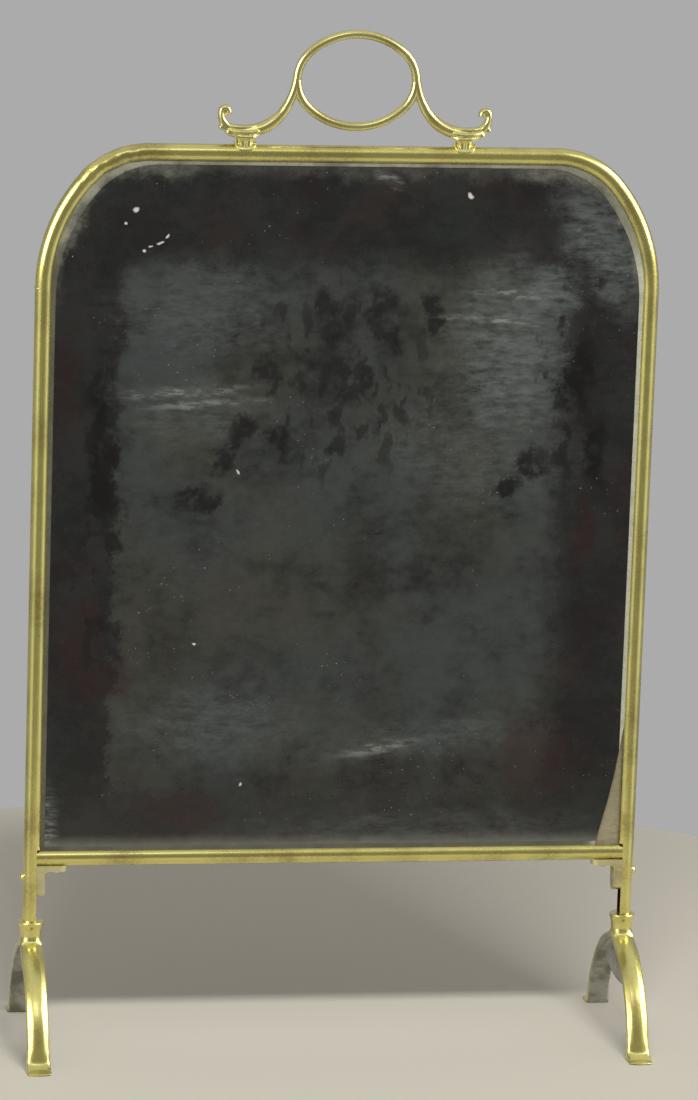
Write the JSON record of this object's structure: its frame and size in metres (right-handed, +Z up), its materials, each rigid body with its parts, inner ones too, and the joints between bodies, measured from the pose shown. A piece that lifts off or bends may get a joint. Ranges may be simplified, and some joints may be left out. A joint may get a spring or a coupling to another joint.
{
  "type": "fireplace screen",
  "caption": "Free-standing fireplace screen: a round-cornered hoop of slotted brass tube on arched cast feet, holding a dark mirror plate, with a looped carrying handle on top.",
  "frame": {"origin": "floor level, under the middle of the screen", "axes": "+Z up; the front faces -Y; +X to the right as seen from the front"},
  "size_m": [0.4636, 0.174, 0.7498],
  "materials": {
    "tube_brass": "drawn brass tube, once polished and lacquered, now mellow with fine rubbed scratches",
    "bright_brass": "polished cast and turned brass with darker recesses",
    "cast_brass": "cast brass, polished on its outer faces and left grey and rough underneath",
    "dull_brass": "dull unpolished brass",
    "dark_plate": "old dark-backed plate glass, hazed, mottled and scratched",
    "tan_board": "bare tan fibre board",
    "binding_tape": "old gummed tape, grey"
  },
  "bodies": {
    "root": {"left_stile": "tube_brass", "right_stile": "tube_brass", "left_bend": "tube_brass", "right_bend": "tube_brass", "top_rail": "tube_brass", "bottom_rail": "tube_brass", "left_bracket": "dull_brass", "right_bracket": "dull_brass", "left_stile_screw": "bright_brass", "right_stile_screw": "bright_brass", "left_rail_screw": "dull_brass", "right_rail_screw": "dull_brass", "left_rail_plug": "dull_brass", "right_rail_plug": "dull_brass", "mirror_plate": "dark_plate", "backing_board": "tan_board", "edge_binding": "binding_tape", "left_foot": "cast_brass", "right_foot": "cast_brass", "left_foot_screw": "dull_brass", "right_foot_screw": "dull_brass", "handle": "bright_brass", "loop_lower_bar": "bright_brass", "left_saddle": "bright_brass", "right_saddle": "bright_brass", "left_handle_screw": "dull_brass", "right_handle_screw": "dull_brass"}
  },
  "joints": []
}
